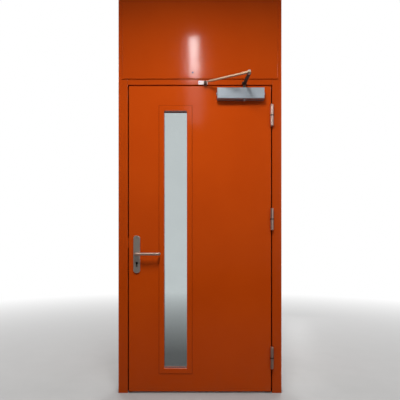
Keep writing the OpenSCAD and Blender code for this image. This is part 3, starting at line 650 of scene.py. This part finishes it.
class FIREDOOR_OT_paintwork(bpy.types.Operator):
    """Paints the leaf, and frame and over-panel a little darker as painted shade, and softens their sheet edges"""

    bl_idname = "fire_door.paintwork"
    bl_label = "Paintwork"

    def execute(self, context):
        names = in_slot("paint")
        # The leaf's paint gets painted shade round the front glazing bead.
        dress(names, paint_finish("leaf_paint", bead="glazing_bead_front"))
        # Painted shade: the frame's paint is darkened by the frame tone.
        dress(FRAME_PAINTED, paint_finish("frame_paint", finish_values().frame_tone))
        round_over([n for n in names if "jamb" not in n], SHEET_EDGE)
        round_over(["lock_jamb", "hinge_jamb"], JAMB_EDGE, segments=1)
        return {"FINISHED"}


class FIREDOOR_OT_glazing(bpy.types.Operator):
    """Finishes the fire glass and its black tapes"""

    bl_idname = "fire_door.glazing"
    bl_label = "Glazing"

    def execute(self, context):
        dress(["glass_pane"], glass_finish("fire_glass"))
        round_over(["glass_pane"], GLASS_EDGE)
        dress(["glazing_tapes"], matte_finish("glazing_tape", finish_values().rubber, 0.8, 400.0, 0.2 * MM))
        return {"FINISHED"}


class FIREDOOR_OT_seal(bpy.types.Operator):
    """Replaces the plain seal strips by a bulb seal mitred round the rebate"""

    bl_idname = "fire_door.seal"
    bl_label = "Frame seal"

    strip_w: length_prop("Strip width", "Width of the seal across the stop", 11.0 * MM)

    def profile(self, depth):
        """Outline of the seal: across the stop, and forward from it."""
        half = self.strip_w / 2
        foot = 0.32 * depth
        bulb = [(0.62 * half * math.cos(a), foot + (depth - foot) * math.sin(a))
                for a in (math.pi * i / 10 for i in range(11))]
        return [(half, 0.0), (half, foot)] + bulb + [(-half, foot), (-half, 0.0)]

    def execute(self, context):
        low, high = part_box("frame_seal")
        half = self.strip_w / 2
        left, right, top = low.x + half, high.x - half, high.z - half
        rings = []
        corners = ((left, low.z, (1, 0)), (left, top, (1, -1)), (right, top, (-1, -1)), (right, low.z, (-1, 0)))
        for x, z, across in corners:
            rings.append([Vector((x + across[0] * w, high.y - d, z + across[1] * w))
                          for w, d in self.profile(high.y - low.y)])
        mesh = bmesh.new()
        loft(mesh, rings)
        rubber = matte_finish("seal_rubber", finish_values().rubber, 0.6, 300.0, 0.1 * MM)
        new_piece("bulb_seal", mesh, "frame", rubber, ["frame_seal"])
        return {"FINISHED"}


class FIREDOOR_OT_hinges(bpy.types.Operator):
    """Finishes the lift-off hinges, their pins and bearing rings"""

    bl_idname = "fire_door.hinges"
    bl_label = "Hinges"

    def execute(self, context):
        rings = [f"hinge_ring_{place}" for place in HINGES]
        joints = [sum(corner.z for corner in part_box(ring)) / 2 for ring in rings]
        names = [f"hinge_{part}_{place}" for part in ("frame", "door", "pin") for place in HINGES]
        dress(names, hinge_finish("hinge_steel", joints))
        round_over(names, KNUCKLE_EDGE, segments=3)
        dress(rings, lacquer_finish("bearing_bronze", finish_values().ring, 0.4, 0.60, 900.0))
        round_over(rings, RING_EDGE)
        return {"FINISHED"}


class FIREDOOR_OT_handle_set(bpy.types.Operator):
    """Brushes the handle plates and levers and rounds their ends"""

    bl_idname = "fire_door.handle_set"
    bl_label = "Handle set"

    def execute(self, context):
        v = finish_values()
        dress(["handle_plate_front", "handle_plate_back"],
              brushed_finish("handle_plate_steel", v.stainless, LINES_UP, rough=(0.36, 0.44)))
        # The levers' warmer colour is a painted reflection of the door.
        dress(["lever_front", "lever_back"],
              brushed_finish("lever_steel", v.lever, LINES_ACROSS, rough=(0.36, 0.44)))
        round_over(["handle_plate_front", "handle_plate_back"], PLATE_EDGE)
        round_over(["lever_front", "lever_back"], LEVER_EDGE, segments=4)
        return {"FINISHED"}


class FIREDOOR_OT_lock(bpy.types.Operator):
    """Finishes the lock, its bolts and the pieces inside leaf and frame"""

    bl_idname = "fire_door.lock"
    bl_label = "Lock and inner pieces"

    def execute(self, context):
        v = finish_values()
        plain = [name for name in in_slot("steel") if not name.startswith("hinge_")]
        dress(plain, brushed_finish("lock_steel", v.zinc, LINES_UP_SHORT, rough=(0.34, 0.50)))
        dress(["lock_case", "lock_cover"], lacquer_finish("lock_inside", v.dark, 0.3, 0.6, 900.0))
        shaped = ("latch_bolt", "dead_bolt", "lock_forend", "floor_anchors", "closer_lock_nut")
        round_over(shaped, SHEET_EDGE)
        dress(in_slot("wool"), matte_finish("mineral_wool", v.wool, 0.92, 220.0, 1.0 * MM))
        return {"FINISHED"}


class FIREDOOR_OT_closer(bpy.types.Operator):
    """Finishes the closer and cuts the thread on its rod"""

    bl_idname = "fire_door.closer"
    bl_label = "Closer"

    STEPS_PER_TURN = 4
    SIDES = 16

    pitch: length_prop("Thread pitch", "Pitch of the thread on the rod", 1.25 * MM)
    root: length_prop("Thread root", "Radius of the rod under the thread", 3.5 * MM)
    tooth: length_prop("Thread tooth", "Height of the thread over the rod", 0.5 * MM)
    shank: length_prop("Pivot shank", "Radius of the pivot screws in their eyes", 4.0 * MM)
    share: bpy.props.FloatVectorProperty(
        name="Thread share", description="Start and end of the thread on the way from elbow to shoe",
        size=2, default=(0.915, 0.965))

    def thread(self, start, end):
        """Rings of a rod with a helical thread from start to end."""
        place = facing(end - start, start)
        length = (end - start).length
        steps = int(self.STEPS_PER_TURN * length / self.pitch)
        rings = []
        for k in range(steps + 1):
            along = length * k / steps
            ring = []
            for i in range(self.SIDES):
                turn = i / self.SIDES
                angle = 2 * math.pi * turn
                phase = (along / self.pitch - turn) % 1.0
                r = self.root + self.tooth * (1 - abs(2 * phase - 1))
                ring.append(place @ Vector((r * math.cos(angle), r * math.sin(angle), along)))
            rings.append(ring)
        return rings

    def pivot(self, name, node, foot, cap, body, slot, material):
        """Upright pivot screw with a domed cap and a six-lobe recess, and a plain foot below if it has one."""
        low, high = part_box(node)
        middle = (low + high) / 2
        r = (high.x - low.x) / 2
        top = high.z
        if foot:
            below = [(r - PIVOT_EDGE, low.z), (r, low.z + PIVOT_EDGE), (r, low.z + foot)]
        else:
            below = [(self.shank - PIVOT_EDGE, low.z)]
        outline = below + [(self.shank, low.z + max(foot, PIVOT_EDGE)), (self.shank, top - cap), (r, top - cap),
                           (r, top - 0.45 * cap), (0.93 * r, top - 0.22 * cap), (0.78 * r, top - 0.07 * cap)]
        rings = [round_ring(radius, z) for radius, z in outline]
        rings += [round_ring(0.56 * r, top), round_ring(0.44 * r, top - 0.04 * cap, lobes=LOBE),
                  round_ring(0.40 * r, top - 0.6 * cap, lobes=LOBE)]
        mesh = bmesh.new()
        loft(mesh, [[point + Vector((middle.x, middle.y, 0)) for point in ring] for ring in rings])
        new_piece(name, mesh, body, material, [node])

    def execute(self, context):
        v = finish_values()
        silver = lacquer_finish("closer_lacquer", v.closer, 0.75, 0.36, 1400.0)
        # The main arm's dark colour is blackened steel and partly painted shade.
        dark = lacquer_finish("arm_black", v.dark, 0.5, 0.42, 1200.0)
        # The plated steel's golden tint is partly a painted reflection of the door.
        plated = brushed_finish("arm_plated", v.arm, NO_LINES, rough=(0.36, 0.50))
        dress(in_slot("closer_silver"), silver)
        dress(in_slot("dark_steel"), dark)
        dress(["closer_forearm", "closer_lock_nut"], plated)
        # Painted highlight and shade: the shoe's plate pale, its lug in front of the plate dark.
        plate_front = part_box("lock_jamb")[0].y - SHOE_PLATE
        dress(["closer_shoe"], two_tone_finish("shoe_lacquer", v.shoe, v.dark, plate_front, 0.34))
        round_over(["closer_housing", "closer_end_plugs"], PLATE_EDGE)
        round_over(["closer_main_arm", "closer_forearm", "closer_shoe", "closer_rod_end"], ARM_EDGE, segments=3)
        round_over(["closer_pinion", "closer_cap"], PINION_EDGE, segments=3)
        # Painted highlight: the elbow's pivot cap takes the shoe's pale colour.
        pale = lacquer_finish("elbow_pale", v.shoe, 0.5, 0.34, 1400.0)
        self.pivot("elbow_pivot", "elbow_screw", 2.0 * MM, 7.0 * MM, "main_arm", "closer_silver", pale)
        self.pivot("shoe_pivot", "shoe_pivot_screw", 0.0, 4.0 * MM, "forearm", "dark_steel", dark)
        elbow = next(Vector(j["pos_m"]) for j in frame["joints"] if j["child"] == "forearm")
        low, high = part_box("shoe_pivot_screw")
        pivot = (low + high) / 2
        eye_low, eye_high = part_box("closer_forearm")
        elbow.z = pivot.z = (eye_low.z + eye_high.z) / 2
        mesh = bmesh.new()
        loft(mesh, self.thread(*(elbow.lerp(pivot, share) for share in self.share)))
        new_piece("rod_thread", mesh, "forearm", plated)
        return {"FINISHED"}


class FIREDOOR_OT_screws(bpy.types.Operator):
    """Replaces the plain screws by screws with real heads and six-lobe recesses"""

    bl_idname = "fire_door.screws"
    bl_label = "Screws"

    def execute(self, context):
        v = finish_values()
        zinc = brushed_finish("screw_zinc", v.zinc, NO_LINES, rough=(0.28, 0.40))
        cap = matte_finish("panel_cap", v.cap, 0.90, 500.0, 0.05 * MM)
        front = (0, -1, 0)
        self.add("shoe_screws", "closer_shoe_screws", [front], 0, "frame", "steel", zinc)
        self.add("panel_screw", "over_panel_screw", [front], None, "frame", "dark_steel", cap, proud=0.15)
        self.add("strike_plate_screws", "strike_screws", [(1, 0, 0)], 2, "frame", "steel", zinc, sunk=True)
        self.add("forend_plate_screws", "forend_screws", [(-1, 0, 0)], 2, "leaf", "steel", zinc)
        self.add("handle_screws", "handle_bolts", [front, (0, 1, 0)], 2, "leaf", "steel", zinc)
        self.add("valve_screws", "closer_valves", [(-1, 0, 0)], 2, "leaf", "closer_silver", zinc)
        return {"FINISHED"}

    def add(self, name, node, ways, along, body, slot, material, sunk=False, proud=0.30):
        """One screw, or one at each end of the node along an axis, with a head on each way that is given.

        A head stands proud by a share of its diameter.
        """
        low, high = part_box(node)
        out = [i for i in range(3) if ways[0][i]][0]
        across = [i for i in range(3) if i not in (out, along)][0]
        head_d = high[across] - low[across]
        head_h = proud * head_d
        shank = (high[out] - low[out]) / len(ways) - head_h
        places = []
        for way in ways:
            spots = end_spots(node, along, head_d / 2) if along is not None else [(low + high) / 2]
            for spot in spots:
                spot[out] = (low if way[out] < 0 else high)[out] - way[out] * head_h
                places.append(facing(way, spot))
        mesh = bmesh.new()
        screws_at(mesh, places, screw_rings(head_d, head_h, 0.5 * head_d, shank, sunk))
        new_piece(name, mesh, body, material, [node])


# Places and sizes of the studio's lamps, in metres from the middle of the frame at floor level.
# WASH_Y, PANEL_Y and TALL_Y count before the door and behind it alike.
STRIP_X = -0.055
STRIP_Y, STRIP_SIZE = -1.715, (0.085, 1.04)
FAR_STRIP_Y, FAR_STRIP_SIZE = -3.3, (0.20, 1.9)
SIDE_X, SIDE_SIZE, SIDE_AIM = 2.6, (0.6, 1.0), (0, 0, 1.3)
WASH_Y, WASH_SIZE = 1.4, (0.25, 0.9)
PANEL_X, PANEL_Y, PANEL_SIZE = 1.4, 1.35, (0.6, 0.8)
TALL_X, TALL_Y, TALL_Z, TALL_SIZE, TALL_AIM_X = 1.35, 2.95, 1.7, (0.17, 2.8), 0.5

# The floor's half width, where it starts and ends to fade, and its brightness in mirrors.
FLOOR_REACH = 12.0
FADE_FROM, FADE_TO = 1.0, 5.5
FLOOR_MIRRORED = 0.2

# The backdrop shows in mirrors from a little before the door's plane to well behind it.
WHITE = (1.0, 1.0, 1.0)
BACKDROP_FROM, BACKDROP_TO = -0.1, 0.35


class FIREDOOR_OT_stage(bpy.types.Operator):
    """Lays the pale floor and sets camera and lights"""

    bl_idname = "fire_door.stage"
    bl_label = "Studio"

    def execute(self, context):
        v = context.scene.fire_door_stage
        self.camera(context, v)
        self.floor(v)
        self.lights(v)
        self.world(v)
        context.scene.view_settings.view_transform = "Standard"
        return {"FINISHED"}

    def camera(self, context, v):
        """A level camera, shifted up so that upright edges stay upright."""
        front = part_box("lock_jamb")[0].y
        data = bpy.data.cameras.new("camera")
        data.sensor_fit = "VERTICAL"
        data.sensor_height = 24.0
        data.lens = data.sensor_height * v.camera_far / v.span
        data.shift_x = -v.aside / v.span
        data.shift_y = (v.middle - v.eye) / v.span
        data.clip_end = 100.0
        eye = bpy.data.objects.new("camera", data)
        eye.location = (v.aside, front - v.camera_far, v.eye)
        eye.rotation_euler = (math.radians(90), 0, 0)
        context.scene.collection.objects.link(eye)
        context.scene.camera = eye

    def floor(self, v):
        """A wide plane at floor level, pale to camera and reflections."""
        mesh = bmesh.new()
        bmesh.ops.create_grid(mesh, x_segments=1, y_segments=1, size=FLOOR_REACH)
        data = bpy.data.meshes.new("studio_floor")
        mesh.to_mesh(data)
        mesh.free()
        plane = bpy.data.objects.new("studio_floor", data)
        bpy.context.scene.collection.objects.link(plane)
        s = Surface("studio_floor")
        grain = s.spread(s.noise(s.place(), 6.0, detail=4.0), 0.3, 0.7)
        pale = s.mix(grain, shade(v.floor, 0.96), v.floor)
        mirrored = s.add("ShaderNodeLightPath").outputs["Is Glossy Ray"]
        s.colour(s.mix(mirrored, pale, shade(v.floor, FLOOR_MIRRORED)))
        s.set(Roughness=0.55)
        self.fade(s)
        data.materials.append(s.material)

    def fade(self, s):
        """Lets the floor run out into the white backdrop, to the camera and through glass."""
        far = s.add("ShaderNodeVectorMath", operation="LENGTH")
        s.join(s.place(), far.inputs[0])
        path = s.add("ShaderNodeLightPath")
        seen = s.math("MAXIMUM", path.outputs["Is Camera Ray"], path.outputs["Is Transmission Ray"])
        white = s.add("ShaderNodeEmission")
        mix = s.add("ShaderNodeMixShader")
        s.join(s.math("MULTIPLY", seen, s.spread(far.outputs["Value"], FADE_FROM, FADE_TO)), mix.inputs[0])
        s.join(s.shader.outputs[0], mix.inputs[1])
        s.join(white.outputs[0], mix.inputs[2])
        s.join(mix.outputs[0], s.tree.nodes["Material Output"].inputs["Surface"])

    def area(self, name, spot, size, power, aim=None, mirrored=True):
        """One rectangular lamp that shines straight down or at a point."""
        data = bpy.data.lights.new(name, "AREA")
        data.shape = "RECTANGLE"
        data.size, data.size_y = size
        data.energy = power
        lamp = bpy.data.objects.new(name, data)
        lamp.location = spot
        if aim:
            lamp.rotation_euler = (Vector(aim) - Vector(spot)).to_track_quat("-Z", "Y").to_euler()
        lamp.visible_camera = False
        lamp.visible_glossy = mirrored
        bpy.context.scene.collection.objects.link(lamp)

    def lights(self, v):
        """Ceiling strips that the paint mirrors, and lamps above and beside the door, before it and behind."""
        high = v.lamp_height
        self.area("ceiling_strip", (STRIP_X, STRIP_Y, v.ceiling), STRIP_SIZE, v.strip_power)
        self.area("far_strip", (STRIP_X, FAR_STRIP_Y, v.ceiling), FAR_STRIP_SIZE, v.far_power)
        for across, name in ((-1, "left"), (1, "right")):
            self.area(name + "_wash", (SIDE_X * across, 0, high), SIDE_SIZE, v.side_power, SIDE_AIM, mirrored=False)
        for side, name in ((-1, "front"), (1, "back")):
            self.area(name + "_wash", (STRIP_X, WASH_Y * side, high), WASH_SIZE, v.wash_power, mirrored=False)
            self.area(name + "_tall_panel", (TALL_X, TALL_Y * side, TALL_Z), TALL_SIZE, v.tall_power,
                      (TALL_AIM_X, 0, TALL_Z))
            for across in (-1, 1):
                self.area(name + "_panel", (PANEL_X * across, PANEL_Y * side, high), PANEL_SIZE, v.panel_power)

    def world(self, v):
        """Even light; a white backdrop to the camera, through glass and, behind the door, in mirrors."""
        world = bpy.data.worlds.new("studio")
        world.use_nodes = True
        bpy.context.scene.world = world
        t = Tree(world.node_tree)
        light = world.node_tree.nodes["Background"]
        light.inputs["Color"].default_value = rgba(WHITE)
        path = t.add("ShaderNodeLightPath")
        dim = t.spread(path.outputs["Is Glossy Ray"], 0.0, 1.0, v.sky, v.mirror_sky)
        t.join(dim, light.inputs["Strength"])
        white = t.add("ShaderNodeBackground")
        white.inputs["Color"].default_value = rgba(WHITE)
        white.inputs["Strength"].default_value = 1.0
        way = t.add("ShaderNodeSeparateXYZ")
        t.join(t.add("ShaderNodeTexCoord").outputs["Generated"], way.inputs[0])
        behind = t.spread(way.outputs["Y"], BACKDROP_FROM, BACKDROP_TO)
        mirrored = t.math("MULTIPLY", path.outputs["Is Glossy Ray"], behind)
        seen = t.math("MAXIMUM", path.outputs["Is Camera Ray"], path.outputs["Is Transmission Ray"])
        mix = t.add("ShaderNodeMixShader")
        t.join(t.math("MAXIMUM", seen, mirrored), mix.inputs[0])
        t.join(light.outputs[0], mix.inputs[1])
        t.join(white.outputs[0], mix.inputs[2])
        t.join(mix.outputs[0], world.node_tree.nodes["World Output"].inputs["Surface"])


STEPS = (
    FIREDOOR_OT_groups, FIREDOOR_OT_paintwork, FIREDOOR_OT_glazing, FIREDOOR_OT_seal, FIREDOOR_OT_hinges,
    FIREDOOR_OT_handle_set, FIREDOOR_OT_lock, FIREDOOR_OT_closer, FIREDOOR_OT_screws, FIREDOOR_OT_stage,
)


class FIREDOOR_PT_sidebar(bpy.types.Panel):
    """Steps and values of the fire door"""

    bl_idname = "FIREDOOR_PT_sidebar"
    bl_label = "Fire door"
    bl_space_type = "VIEW_3D"
    bl_region_type = "UI"
    bl_category = "Fire door"

    def draw(self, context):
        column = self.layout.column()
        for step in STEPS:
            column.operator(step.bl_idname)
        for values in (context.scene.fire_door_finish, context.scene.fire_door_stage):
            box = self.layout.box()
            for name in values.__annotations__:
                box.prop(values, name)


CLASSES = (FireDoorFinish, FireDoorStage, *STEPS, FIREDOOR_PT_sidebar)


def register():
    for cls in CLASSES:
        bpy.utils.register_class(cls)
    bpy.types.Scene.fire_door_finish = bpy.props.PointerProperty(type=FireDoorFinish)
    bpy.types.Scene.fire_door_stage = bpy.props.PointerProperty(type=FireDoorStage)


def unregister():
    del bpy.types.Scene.fire_door_stage
    del bpy.types.Scene.fire_door_finish
    for cls in reversed(CLASSES):
        bpy.utils.unregister_class(cls)


def main():
    register()
    for step in STEPS:
        group, name = step.bl_idname.split(".")
        getattr(getattr(bpy.ops, group), name)()


if __name__ == "__main__":
    main()
